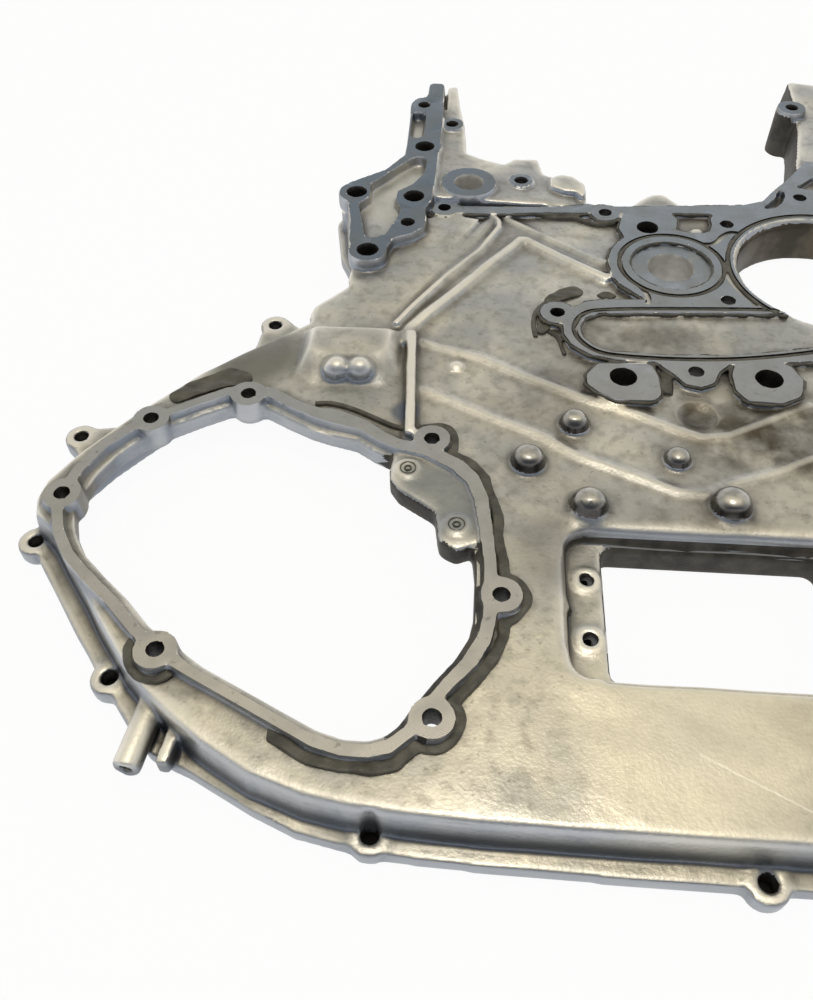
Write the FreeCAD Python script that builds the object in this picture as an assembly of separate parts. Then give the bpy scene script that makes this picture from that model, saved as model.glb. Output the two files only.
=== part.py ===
import FreeCAD, Part
import math
import os

os.makedirs("parts", exist_ok=True)
V = FreeCAD.Vector

# Driving sizes in mm. Z is 0 on the block-side face and goes up to the outer side.
# X is 0 on the cover's middle plane and Y is 0 on the centre ring's axis.
flange_thick = 7.5
rim_height = 27.0
plate_drop = 3.5
plate_thick = 4.0
wall_thick = 4.5
frame_rise = 5.0
shelf_rise = 2.5
shelf_fall = 0.045
skirt_draft = 1.5
rim_depth = 13.0
rim_rebate_width = 3.5
rim_rebate_depth = 4.0
rim_boss_radius = 8.7
rim_hole_dia = 7.0
flange_boss_radius = 8.0
flange_hole_dia = 6.6
face_hole_dia = 7.5
pad_hole_dia = 13.0
frame_hole_dia = 11.5
bore_x = 84.0
bore_radius = 46.8
bore_ring_radius = 55.5
ring_one_radius = 22.0
ring_one_bore_dia = 25.0
ring_one_drop = 2.0
ring_two_radius = 16.5
ring_two_bore_dia = 17.0
well_half_width = 46.0
well_middle_x = -3.5
well_near_y = -256.5
well_far_y = -192.5
well_side_ledge = 16.0
well_end_ledge = 3.0
well_ledge_depth = 8.5
groove_width = 1.8
groove_depth = 1.2
recess_depth = 2.5
bead_width = 4.8
bead_height = 1.4
lug_rise = 0.8
ear_ring_radius = 5.6
ear_dish_radius = 4.1
ear_dish_depth = 0.8
rib_thick = 3.6
land_round = 8.0
bore_chamfer = 3.2
centre_groove_radius = 27.5
bore_groove_radius = 52.2
side_hole_dia = 12.0
well_screw_dia = 5.6
well_pad_radius = 6.2
tube_radius = 5.4
tube_hole_radius = 2.4
tube_hole_depth = 12.0
sharp_turn = 0.8

plate_top = rim_height - plate_drop
plate_under = plate_top - plate_thick
frame_top = rim_height + frame_rise
well_ledge_z = plate_top - well_ledge_depth
rim_bottom = rim_height - rim_depth


def roundedWire(points, z, radius):
    count = len(points)
    trims = []
    for i in range(count):
        a = V(points[i - 1][0], points[i - 1][1], z)
        b = V(points[i][0], points[i][1], z)
        c = V(points[(i + 1) % count][0], points[(i + 1) % count][1], z)
        u = a - b
        w = c - b
        lu = u.Length
        lw = w.Length
        u.normalize()
        w.normalize()
        turn = math.pi - u.getAngle(w)
        if turn < sharp_turn:
            trims.append((b, b, b))
            continue
        reach = min(radius * math.tan(turn / 2), 0.48 * lu, 0.48 * lw)
        p = b + u * reach
        q = b + w * reach
        r = reach / math.tan(turn / 2)
        away = u + w
        away.normalize()
        middle = b + away * (r / math.cos(turn / 2) - r)
        trims.append((p, middle, q))
    edges = []
    for i in range(count):
        p, middle, q = trims[i]
        if (q - p).Length > 1e-6:
            edges.append(Part.Arc(p, middle, q).toShape())
        following = trims[(i + 1) % count][0]
        if (following - q).Length > 1e-6:
            edges.append(Part.LineSegment(q, following).toShape())
    return Part.Wire(edges)


def prism(points, low, high, radius=3.0):
    if radius:
        wire = roundedWire(points, low, radius)
    else:
        wire = Part.makePolygon([V(x, y, low) for x, y in points + points[:1]])
    return Part.Face(wire).extrude(V(0, 0, high - low))


def cornerPoints(points, radius):
    # cuts each sharp corner into two points, so that a tapered block keeps flat sides
    count = len(points)
    result = []
    for i in range(count):
        a, b, c = points[i - 1], points[i], points[(i + 1) % count]
        lu = math.hypot(a[0] - b[0], a[1] - b[1])
        lw = math.hypot(c[0] - b[0], c[1] - b[1])
        ux, uy = (a[0] - b[0]) / lu, (a[1] - b[1]) / lu
        wx, wy = (c[0] - b[0]) / lw, (c[1] - b[1]) / lw
        turn = math.pi - math.acos(max(-1, min(1, ux * wx + uy * wy)))
        if turn < sharp_turn:
            result.append(b)
            continue
        reach = min(radius * math.tan(turn / 2), 0.4 * lu, 0.4 * lw)
        result.append((b[0] + ux * reach, b[1] + uy * reach))
        result.append((b[0] + wx * reach, b[1] + wy * reach))
    return result


def tapered(low_points, low, high_points, high):
    # a block with flat facets between two outlines that have the same number of points
    base = [V(x, y, low) for x, y in low_points]
    top = [V(x, y, high) for x, y in high_points]
    faces = [Part.Face(Part.makePolygon(base + base[:1])), Part.Face(Part.makePolygon(top + top[:1]))]
    for i in range(len(base)):
        j = (i + 1) % len(base)
        a, b, c, d = base[i], base[j], top[j], top[i]
        across = (b - a).cross(c - a)
        if abs(across.dot(d - a)) < 1e-6 * max(1.0, across.Length):
            faces.append(Part.Face(Part.makePolygon([a, b, c, d, a])))
        else:
            faces.append(Part.Face(Part.makePolygon([a, b, c, a])))
            faces.append(Part.Face(Part.makePolygon([a, c, d, a])))
    block = Part.Solid(Part.Shell(faces))
    if block.Volume < 0:
        block.reverse()
    return block


def dome(x, y, radius, low, high):
    # a round stud whose top is drawn in by a cone
    profile = [(0, low), (radius, low), (radius, high - radius * 0.6), (radius * 0.45, high), (0, high)]
    points = [V(x + across, y, z) for across, z in profile]
    return Part.Face(Part.makePolygon(points + points[:1])).revolve(V(x, y, 0), V(0, 0, 1), 360)


def ridge(points, foot, crest, low, high):
    # a raised line with sloping sides along a path
    sides = []
    for width in (foot, crest):
        left, right = [], []
        for i, (x, y) in enumerate(points):
            ax, ay = points[max(i - 1, 0)]
            bx, by = points[min(i + 1, len(points) - 1)]
            length = math.hypot(bx - ax, by - ay)
            nx, ny = -(by - ay) / length * width / 2, (bx - ax) / length * width / 2
            left.append((x + nx, y + ny))
            right.append((x - nx, y - ny))
        sides.append(right + left[::-1])
    return tapered(sides[0], low, sides[1], high)


def offsetPoints(points, distance):
    # moves every side outward by the distance, for points that run counterclockwise
    count = len(points)
    moved = []
    for i in range(count):
        ax, ay = points[i - 1]
        bx, by = points[i]
        cx, cy = points[(i + 1) % count]
        ux, uy = bx - ax, by - ay
        wx, wy = cx - bx, cy - by
        lu = math.hypot(ux, uy)
        lw = math.hypot(wx, wy)
        n1x, n1y = uy / lu, -ux / lu
        n2x, n2y = wy / lw, -wx / lw
        scale = distance / max(0.35, 1 + n1x * n2x + n1y * n2y)
        moved.append((bx + (n1x + n2x) * scale, by + (n1y + n2y) * scale))
    return moved


def mirrored(points):
    return [(-x, y) for x, y in reversed(points)]


def disc(x, y, radius, low, high):
    return Part.makeCylinder(radius, high - low, V(x, y, low))


def slopedPrism(points, low, heightAt):
    # a block on the given outline whose top follows a sloping plane
    count = len(points)
    base = [V(x, y, low) for x, y in points]
    top = [V(x, y, heightAt(x, y)) for x, y in points]
    faces = [Part.Face(Part.makePolygon(base + base[:1])), Part.Face(Part.makePolygon(top + top[:1]))]
    for i in range(count):
        j = (i + 1) % count
        faces.append(Part.Face(Part.makePolygon([base[i], base[j], top[j], top[i], base[i]])))
    block = Part.Solid(Part.Shell(faces))
    if block.Volume < 0:
        block.reverse()
    return block


def fused(shapes):
    whole = shapes[0]
    if len(shapes) > 1:
        whole = whole.fuse(shapes[1:])
    return whole


def limb(x0, y0, x1, y1, width, low, high):
    # a straight rib between two points
    dx, dy = x1 - x0, y1 - y0
    length = math.hypot(dx, dy)
    nx, ny = -dy / length * width / 2, dx / length * width / 2
    points = [(x0 + nx, y0 + ny), (x0 - nx, y0 - ny), (x1 - nx, y1 - ny), (x1 + nx, y1 + ny)]
    return prism(points, low, high, 0)


# Outlines, traced in plan and given counterclockwise
flange_left = [
    (-42.6, 59.1), (-42.3, 79.2), (-67.5, 92.1), (-70.9, 108.9), (-86.8, 107.6), (-92.2, 100.1),
    (-104, 105), (-116, 110), (-117, 130), (-118.5, 152), (-122, 175), (-125, 205), (-134, 200),
    (-145, 200), (-145.5, 178), (-152, 176), (-156, 168), (-155.2, 155), (-154.7, 114.6),
    (-155.5, 99.7), (-165, 82), (-179, 72.5), (-190, 68), (-193.5, 60), (-187, 24), (-180, 8),
    (-175, -14), (-177, -23.5), (-194, -44), (-195, -51), (-193, -56), (-219.6, -79.8),
    (-240.4, -98.8), (-260.7, -122.8), (-273, -138), (-286, -152), (-297, -172), (-299, -186),
    (-298, -200), (-290, -211), (-280, -223.8), (-265, -243.5), (-258.5, -251.2), (-250, -262),
    (-242, -271.4), (-233, -282), (-221, -294), (-204, -300.5), (-180, -312.5), (-163, -319.5),
    (-146, -322.8), (-128, -325.5), (-95, -327), (-45, -327.8),
]
plate_left = [
    (-42.6, 59.1), (-42.3, 79.2), (-67.5, 92.1), (-70.9, 108.9), (-86.8, 107.6), (-92.2, 100.1),
    (-104, 105), (-116, 110), (-117, 130), (-118.5, 152), (-122, 175), (-125, 205), (-134, 200),
    (-145, 200), (-145.5, 178), (-152, 176), (-156, 168), (-155.2, 155), (-154.7, 114.6),
    (-155.5, 99.7), (-165, 82), (-179, 72.5), (-186, 68), (-187, 60), (-181.5, 24), (-176, 8),
    (-173.5, -14), (-176, -23.5), (-193, -44), (-194, -51), (-192, -56), (-219.6, -79.8),
    (-240.4, -98.8), (-260.7, -122.8), (-272.6, -139), (-284, -155), (-294.5, -175), (-296, -186),
    (-293, -196), (-284, -203), (-273.9, -216.3), (-260, -234), (-252, -245), (-244, -255),
    (-235, -266.5), (-224, -277), (-211, -287.4), (-199.6, -295.5), (-180, -306.5), (-160, -313),
    (-144, -315.8), (-128, -317.2), (-93, -318.6), (-45, -318.8),
]
cavity_left = [
    (-48.5, 52), (-48.5, 74.5), (-73.5, 87), (-76.5, 102), (-82, 101.5), (-90, 94), (-105, 99),
    (-122.5, 105), (-124, 150), (-131, 193), (-139.5, 193), (-139.5, 172), (-149, 165), (-149.5, 96),
    (-160, 76), (-173, 67), (-180, 62), (-181, 56), (-176, 25), (-170, 8), (-167.5, -12),
    (-170, -26), (-187, -48), (-190, -62), (-217, -86), (-251, -122), (-274, -152), (-288, -176),
    (-289.5, -184), (-284, -193), (-268, -213), (-246, -241.5), (-229, -262), (-205, -281),
    (-177, -299), (-158, -305.5), (-128, -309.5), (-93, -310.8), (-45, -311.5),
]
land_inner = [
    (-206, -267.6), (-174.7, -283.2), (-159.1, -290.8), (-148, -293.9), (-139, -294), (-131.5, -291.3),
    (-126.3, -286.5), (-120.1, -276.5), (-113.9, -266.9), (-106.7, -257.3), (-101.1, -246.3),
    (-99.3, -236.6), (-99.2, -214.5), (-101.5, -194.7), (-104.2, -177.8), (-107.6, -168.1),
    (-114.7, -160.6), (-127.4, -152.9), (-140, -149.9), (-148.5, -145.5), (-158, -138.8),
    (-170.9, -135.4), (-180, -132.2), (-190.8, -126.8), (-203, -119.8), (-213, -117.5),
    (-223, -119.5), (-235.2, -126.6), (-247.6, -134.9), (-262, -146), (-271, -157), (-277.5, -172),
    (-280.3, -185), (-280.3, -193), (-276, -205), (-268.1, -217), (-255.6, -228.4), (-243.3, -238.8),
    (-231.5, -250.8),
]
land_outer = [
    (-206, -273.3), (-174.5, -289), (-159, -296.8), (-148, -299.6), (-138, -299.8), (-129.5, -297.3),
    (-122.5, -290.5), (-114.6, -277.5), (-108.2, -269), (-100.6, -260.2), (-95.3, -249.3),
    (-93.2, -238), (-93.2, -214.5), (-95.3, -193), (-97.6, -175.5), (-101.8, -163.8),
    (-109.6, -154.6), (-124.5, -146.5), (-138.9, -143), (-145.5, -139.2), (-154.5, -132),
    (-168.3, -125.8), (-179, -124.5), (-189, -120.5), (-201, -112.6), (-213, -110.6),
    (-225, -113.6), (-238, -121.8), (-250, -129.6), (-266.5, -142), (-276.5, -153.5),
    (-283.5, -170.5), (-286, -185), (-285.6, -194.8), (-280.8, -208), (-272, -221), (-258.6, -233.4),
    (-246.8, -243), (-235.6, -254), (-225, -263.3),
]
ear = [
    (-140.5, -150), (-142.3, -160), (-141.5, -166.5), (-137.5, -172.6), (-130, -177.9), (-120.6, -184.2),
    (-119.3, -193.7), (-118, -201), (-110.5, -205.3), (-103, -201), (-97, -196), (-97, -177),
    (-104, -160), (-118, -150), (-130, -146),
]
rim_holes = [
    (-116.6, -282.2), (-92.1, -227.0), (-124.2, -142.4), (-213.6, -117.7), (-256.1, -137.3),
    (-283.2, -185.7), (-222.8, -260.9),
]
frame_outer = [
    (-187, 58), (-181, 28), (-179, 5), (-176, -10), (-167.6, -14.5), (-159, -10), (-157.5, -1),
    (-154, 9), (-144, 14), (-137, 22), (-136.5, 31), (-138, 40), (-134.5, 50), (-133.5, 80),
    (-132.5, 130), (-133.5, 198), (-144.5, 199), (-145, 178), (-152, 176), (-155.5, 168),
    (-154.8, 150), (-154.3, 114.6), (-155, 99.9), (-165, 82.3), (-178, 72.2), (-186, 66),
]
frame_pocket = [
    (-172.3, 65.2), (-171.2, 52), (-177.2, 43.6), (-170.2, 10.2), (-166, 8.6), (-159.2, 13),
    (-153.3, 32.8), (-152.6, 39), (-156.4, 48), (-156, 58.2), (-147.5, 66.5), (-141.3, 79.2),
    (-140.6, 94), (-143.6, 100.2), (-149.6, 96.6),
]
arm_pocket = [(-152.3, 123), (-146, 122), (-144.5, 128), (-144.5, 152), (-148, 157), (-152.8, 156)]
frame_holes = [(-145.6, 53.2), (-182.4 + 2.5, 56), (-167.6, -2.9), (-142.6, 111.6)]
frame_small_holes = [(-147.3, 25.4), (-146.2, 166.6)]
face_outline = [
    (-14.8, -33.9), (15.5, -32.5), (19.6, -38.1), (43, -36.5), (60, -42), (84, -55), (120, -60),
    (146, -30), (146, 30), (134, 52), (110, 62), (97, 80), (84, 84), (71, 81), (62, 68),
    (48, 55), (34, 53), (-22, 50.6), (-24, 44.6), (-26.5, 34.3), (-23.7, 24.5), (-28, 16.1),
    (-33, 3.7), (-33.8, -11.4), (-30.1, -19.2), (-20.2, -29.4),
]
face_pocket = [
    (3.5, 52), (8.5, 46), (7.5, 38), (5.9, 33.5), (12, 31), (20.4, 31), (25, 33.5), (27.3, 40.5),
    (27, 47), (31, 52),
]
arm_side_pocket = [
    (57.4, 57), (67.5, 61), (71.8, 66), (75.3, 73.9), (75.6, 81.8), (71.4, 78.2), (69.5, 71.4),
    (64.8, 65.5),
]
far_bump = [
    (-17, 50), (15.6, 50), (15.6, 66.1), (11.5, 71.4), (5.2, 78.9), (-2.1, 78.5), (-9.9, 72.4),
    (-16.5, 64.3),
]
notch_block = [
    (-64.4, 72.7), (-55.6, 67.6), (-49.6, 67.9), (-44.5, 61), (-43.2, 75.5), (-50.5, 84.5),
    (-57.8, 86.5), (-64.8, 81.8),
]
oval_outer = [
    (-39.9, -33.5), (-49.7, -36.3), (-57.2, -43.5), (-61.4, -53.9), (-61.5, -63.9), (-57.9, -71.6),
    (-49.2, -78.9), (-35.9, -82.2), (-10.8, -83), (19.2, -82.2), (44, -79.8), (62, -77), (92, -72),
    (122, -58), (128, -40), (100, -30), (40, -31), (0, -32),
]
oval_inner = [
    (-42, -45.2), (-49.6, -49.4), (-53, -58), (-51.6, -65.5), (-46, -72.3), (-38.5, -75.6),
    (-11.3, -77), (18.7, -75.6), (43.4, -71.4), (66, -66), (84, -58), (92, -50), (84, -44),
    (52, -40.4), (14, -41.8),
]
pad_one = [
    (-52.3, -100), (-47, -105.9), (-38.5, -111.2), (-20.5, -110.9), (-16.5, -106.4), (-16.7, -93.3),
    (-19.3, -84), (-45.5, -85), (-51.8, -94),
]
pad_two = [
    (18.7, -101), (23.4, -108.6), (39.5, -109), (49.6, -103.4), (52.6, -91.6), (47.6, -80),
    (21.4, -81), (18.6, -90),
]
pad_lobe = [
    (-17, -80), (-14.5, -86), (-9, -91.7), (-4.5, -98.3), (2.6, -100), (9.6, -96.6), (13, -88.4),
    (18.5, -83), (20, -78),
]
strip_outline = [
    (-130, 44.5), (-100, 45.2), (-68.8, 47.9), (-33.8, 49.6), (34.1, 53.4), (48.3, 54.5), (54, 59.6),
    (67, 69), (74, 79.5), (86.5, 86.5), (98, 98), (104, 112), (96, 116), (81, 94), (69.1, 79.4),
    (61, 67.7), (48.4, 62.6), (-34.3, 56.2), (-42.6, 59), (-60, 54.5), (-100, 52.4), (-130, 52),
]
shelf_outline = [
    (-134, 57), (-128, 56.5), (-60, 56.5), (-42.8, 60), (-42.6, 79), (-67.7, 91.9), (-71.1, 108.7),
    (-86.6, 107.4), (-92, 99.9), (-104, 104.8), (-116, 109.8), (-117, 130), (-118.7, 150), (-134.2, 150),
]
side_strip = [(-131.5, 150), (-118.7, 150), (-122.2, 175), (-125.2, 204.6), (-131.5, 201)]
step_outline = [(-177, -22), (-150, -52), (-106, 40), (-128, 46), (-150, 30), (-175, 6)]
arm_right = [
    (152, 176), (150, 214), (128, 224), (106, 229), (103, 190), (98, 155), (87.5, 108), (81, 93.4),
    (69.1, 79.4), (61, 67.7), (48.4, 62.6), (0, 58.8), (-34.3, 56.2),
]
arm_top = [
    (106, 228), (127.5, 223), (134, 200), (134, 60), (110, 62), (97, 98), (88.5, 108), (98.6, 155),
    (103.6, 190),
]
flange_outline = flange_left + mirrored(flange_left[16:]) + arm_right
plate_outline = plate_left + mirrored(plate_left[16:]) + arm_right
cavity_outline = cavity_left + mirrored(cavity_left[12:]) + [
    (146, 207), (112, 221), (109, 190), (104, 155), (93, 105), (87, 88), (74, 74), (65, 61), (50, 56.5),
    (0, 52.8),
]

# Cast shell: flange, drafted skirt and plate, hollow below
flange_lugs = [
    (-136.1, -318.6), (-1.0, -325.5), (-244.5, -263.5), (-296.5, -198.3), (-296, -133), (-215.4, -42),
]
flange_lugs += [(-x, y) for x, y in flange_lugs if x < -10]
lug_webs = [
    [(-302, -138.5), (-291, -126.5), (-262, -121), (-282, -156)],
    [(-222, -46.5), (-209, -36.5), (-189, -54), (-226, -87)],
]
plate_edge = cornerPoints(plate_outline, 4)
shell_parts = [
    prism(flange_outline, 0, flange_thick, 0),
    tapered(offsetPoints(plate_edge, skirt_draft), flange_thick - 0.5, plate_edge, plate_top - 2),
    tapered(plate_edge, plate_top - 2, offsetPoints(plate_edge, -1.6), plate_top),
]
for x, y in flange_lugs:
    shell_parts.append(disc(x, y, flange_boss_radius, 0, flange_thick + lug_rise))
for web in lug_webs:
    shell_parts.append(prism(web, 0, flange_thick, 0))
    shell_parts.append(prism(mirrored(web), 0, flange_thick, 0))
casting = fused(shell_parts)
casting = casting.cut(prism(cavity_outline, -1, plate_under, 0))

# Rims round the side openings, the seven bosses and the ear
rim_parts = []
rim_cuts = []
for side in (-1, 1):
    turn = (lambda p: p) if side == -1 else mirrored
    outer = turn(land_outer)
    inner = turn(land_inner)
    holes = turn(rim_holes)
    bosses = fused([disc(x, y, rim_boss_radius, rim_bottom, rim_height) for x, y in holes])
    rim_parts.append(prism(offsetPoints(outer, -0.5), rim_bottom, rim_height, land_round))
    rim_parts.append(bosses)
    opening = prism(offsetPoints(inner, -rim_rebate_width), -1, rim_height + 1, land_round)
    rebate = prism(inner, rim_height - rim_rebate_depth, rim_height + 1, land_round)
    rim_cuts.append(opening.fuse(rebate).cut(bosses))
casting = casting.fuse(rim_parts).cut(rim_cuts)
for side in (-1, 1):
    turn = (lambda p: p) if side == -1 else mirrored
    opening = prism(offsetPoints(turn(land_inner), -rim_rebate_width), -1, rim_bottom, land_round)
    casting = casting.cut(opening)
    lug = prism(turn(ear), rim_bottom, rim_height - 2, 5)
    casting = casting.fuse(lug)
    for x, y in turn([(-133.9, -160.4), (-111.1, -191.5)]):
        ring_top = rim_height - 0.5
        casting = casting.fuse(disc(x, y, ear_ring_radius, rim_bottom, ring_top))
        casting = casting.cut(disc(x, y, ear_dish_radius, ring_top - ear_dish_depth, rim_height))

# Upper corner frames, their pockets and the arms
upper_parts = [
    slopedPrism(shelf_outline, plate_top - 1, lambda x, y: rim_height + shelf_rise - (x + 125) * shelf_fall),
    prism(side_strip, plate_top - 1, rim_height + 1, 2),
    prism(notch_block, plate_top - 1, rim_height + 3, 3),
    prism(far_bump, 0, plate_top - 0.5, 4),
    prism(strip_outline, plate_top - 1, rim_height, 2),
    slopedPrism(step_outline, plate_top - 1, lambda x, y: plate_top + 0.2 + (y + 55) * 0.028),
]
upper_cuts = []
for side in (-1, 1):
    turn = (lambda p: p) if side == -1 else mirrored
    upper_parts.append(prism(turn(frame_outer), plate_top - 1, frame_top, 4))
    upper_cuts.append(prism(turn(frame_pocket), plate_top + 2, frame_top + 1, 4))
    upper_cuts.append(prism(turn(arm_pocket), plate_top + 2, frame_top + 1, 3))
    for x, y in turn(frame_holes):
        upper_parts.append(disc(x, y, frame_hole_dia / 2 + 5.2, plate_top - 1, frame_top))
    for x, y in turn(frame_small_holes):
        upper_parts.append(disc(x, y, face_hole_dia / 2 + 4.5, plate_top - 1, frame_top))
arm_hole = (98.5, 178.0)
strip_hole = (-126.6, 143.5)
upper_parts.append(prism(arm_top, plate_top - 1, rim_height - 1, 4))
upper_parts.append(disc(arm_hole[0], arm_hole[1], 9.5, 0, rim_height + 4))
upper_parts.append(disc(strip_hole[0], strip_hole[1], 8.0, plate_top - 1, rim_height + 4))
upper_parts.append(disc(-81.9, 79.4, 7.6, plate_top - 1, rim_height + 2))
casting = casting.fuse(upper_parts).cut(upper_cuts)

# Rings, centre face, oval recess and pads, all faced at one level
ring_two = (-113.5, 72.4)
face_parts = [
    disc(ring_two[0], ring_two[1], ring_two_radius, plate_top - 1, rim_height + 4),
    prism(oval_outer, plate_top - 1, rim_height, 6),
    prism(pad_one, plate_top - 1, rim_height, 4),
    prism(pad_two, plate_top - 1, rim_height, 6),
    prism(pad_lobe, plate_top - 1, rim_height, 4),
    disc(-9.6, 35.7, 15.6, plate_top - 1, rim_height),
    disc(bore_x, 0, bore_ring_radius, 1.5, rim_height),
    disc(0, 0, 34.5, plate_top - 1, rim_height),
    disc(-64, -46.1, 9.2, plate_top - 1, rim_height),
    disc(-127.2, 50, 8.6, plate_top - 1, rim_height),
    disc(-32.8, 49.9, 8.6, plate_top - 1, rim_height),
]
face_cuts = [prism(face_pocket, rim_height - plate_drop, rim_height + 1, 2)]
face = prism(face_outline, plate_top - 1, rim_height, 3).cut(face_cuts)
casting = casting.fuse(face_parts + [face]).cut(prism(arm_side_pocket, plate_top - 0.5, rim_height + 1, 2))

# Raised bands, bump, rib and domes cast on the plate
ridges = [
    ([(-99.5, 42), (-103.5, 35), (-111.2, 19.2), (-127.2, -5.1), (-147.1, -36.3)], 8.0, 3.0, 1.2),
    ([(-100.2, 47), (-95, 40), (-94.8, 33.6), (-105.4, 10.9), (-121.4, -12), (-136.3, -37.1),
      (-148, -58.2)], 5.5, 2.4, 2.8),
    ([(-81.1, 24.2), (-85.7, 17), (-105, -10.1), (-123, -36.3), (-140, -61), (-143.1, -74)], 10.0, 4.0, 3.0),
    ([(-92, 46), (-76.9, 34.7), (-60.1, 21.4), (-33.3, 1.6)], 5.0, 2.0, 1.6),
    ([(-81.1, 24.2), (-71.6, 15.8), (-60.7, 6.7), (-34.4, -13.2)], 10.0, 4.0, 2.8),
    ([(-134.2, -70.7), (-103.5, -80.5), (-83.6, -92.1), (-55.1, -106.9), (-27.6, -117), (-12, -126),
      (0, -131), (12, -129), (26.9, -121), (54.6, -104.9)], 9.0, 2.5, 1.3),
    ([(-131.1, -105.2), (-112.3, -115.4), (-93.2, -125.1), (-74.8, -133.3), (-57.1, -146.8),
      (-31.3, -157.4), (-14.8, -165.2), (-3.7, -165.7), (9.7, -159), (30.7, -150.4), (62, -134)],
     8.0, 2.5, 1.3),
]
low_bump = [(-195, -101), (-186, -109), (-149, -108), (-142, -98), (-143, -62), (-195, -65)]
top_bump = [(-188, -87), (-184, -90), (-154, -90), (-150, -86), (-149, -70), (-188, -70)]
domes = [
    (-80.5, -152.0, 7.6, 8.5), (-54.8, -176.5, 8.0, 9.0), (6.0, -173.0, 8.5, 9.0), (-58.8, -126.5, 6.8, 7.5),
    (-13.6, -146.5, 6.0, 6.0), (-115.0, -88.5, 3.6, 2.2), (18.4, 34.5, 5.6, 3.2),
]
relief = [
    tapered(low_bump, plate_top - 1, top_bump, rim_height + 4.5),
    limb(-138.6, -66, -134.6, -140, 5, plate_top - 1, rim_height + 1.5),
]
for path, foot, crest, height in ridges:
    relief.append(ridge(path, foot, crest, plate_top - 0.4, plate_top + height))
for x, y, radius, height in domes:
    relief.append(dome(x, y, radius, plate_top - 1.5, plate_top + height))
for x in (-173.5, -162.0):
    relief.append(dome(x, -98, 6.6, plate_top - 1, rim_height + 6.6))
casting = casting.fuse(relief)
casting = casting.cut(Part.makeCone(5, 11, 3.1, V(-0.4, -116, plate_top - 2.5)))

# Well through the plate with a stepped wall down to the flange face
well_low_x = well_middle_x - well_half_width
well_high_x = well_middle_x + well_half_width
well_hole = [
    (well_low_x, well_near_y), (well_high_x, well_near_y), (well_high_x, well_far_y),
    (well_low_x, well_far_y),
]
well_mouth = [
    (well_low_x - well_side_ledge, well_near_y - well_end_ledge),
    (well_high_x + well_side_ledge, well_near_y - well_end_ledge),
    (well_high_x + well_side_ledge, well_far_y + well_end_ledge),
    (well_low_x - well_side_ledge, well_far_y + well_end_ledge),
]
mouth_edge = cornerPoints(well_mouth, 14)
casting = casting.fuse([
    prism(offsetPoints(well_mouth, wall_thick), well_ledge_z - wall_thick, plate_top, 12),
    prism(offsetPoints(well_hole, wall_thick), 1.0, well_ledge_z, 7),
])
casting = casting.cut([
    prism(well_mouth, well_ledge_z, plate_top + 1, 9),
    tapered(mouth_edge, plate_top - 3, offsetPoints(mouth_edge, 3.01), plate_top + 0.01),
    prism(well_hole, -1, plate_top, 4),
])
well_screws = [(x, y) for x in (well_low_x - 7, well_high_x + 7) for y in (-209.5, -238.5)]
well_pads = [
    disc(x, y, well_pad_radius, well_ledge_z - wall_thick, well_ledge_z + 1.2) for x, y in well_screws
]
casting = casting.fuse(well_pads)

# Bolt columns, ring columns and ribs on the hidden underside
columns = [
    (-33.9, -94.7, 10.0), (36.1, -91.9, 10.0), (-64.0, -46.1, 8.0), (-9.6, 35.7, 10.0), (-127.2, 50.0, 8.0),
    (0.0, 0.0, 17.5), (ring_two[0], ring_two[1], 13.0),
]
for side in (-1, 1):
    turn = (lambda p: p) if side == -1 else mirrored
    columns += [(x, y, frame_hole_dia / 2 + 4) for x, y in turn(frame_holes)]
ribs = [
    (-33.9, -94.7, -66, -190), (36.1, -91.9, 58, -190), (-64, -46.1, -150, -100), (-64, -46.1, -33.9, -94.7),
    (36.1, -91.9, 150, -100), (0, 0, -113.5, 72.4), (0, 0, -33.9, -94.7), (-60, -262, -75, -312),
    (55, -262, 70, -312), (-113.5, 72.4, -176, -60), (110, 55, 176, -60), (-92, -230, -64, -225),
    (92, -230, 57, -225), (-140, -296, -136, -313), (140, -296, 136, -313),
]
underside = [disc(x, y, radius, 0, plate_under + 1) for x, y, radius in columns]
underside += [limb(x0, y0, x1, y1, rib_thick, flange_thick + 1, plate_under + 0.5) for x0, y0, x1, y1 in ribs]
for x, y in flange_lugs[:2] + [(136.1, -318.6)]:
    underside.append(disc(x, y, flange_boss_radius, 0, flange_thick + lug_rise))
casting = casting.fuse(underside)

# Side boss lying on the lower left flange, with its blind hole
tube_start = V(-221.5, -268, 13)
tube_end = V(-226, -303.5, 13)
tube_way = (tube_end - tube_start).normalize()
tube = Part.makeCylinder(tube_radius, (tube_end - tube_start).Length, tube_start, tube_way)
tube_hole = Part.makeCylinder(tube_hole_radius, tube_hole_depth, tube_end + tube_way, tube_way * -1)
tube_web = limb(-211, -284, -213.5, -301, 5, flange_thick - 1, flange_thick + 8)
casting = casting.fuse([tube, tube_web]).cut(tube_hole)

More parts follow.
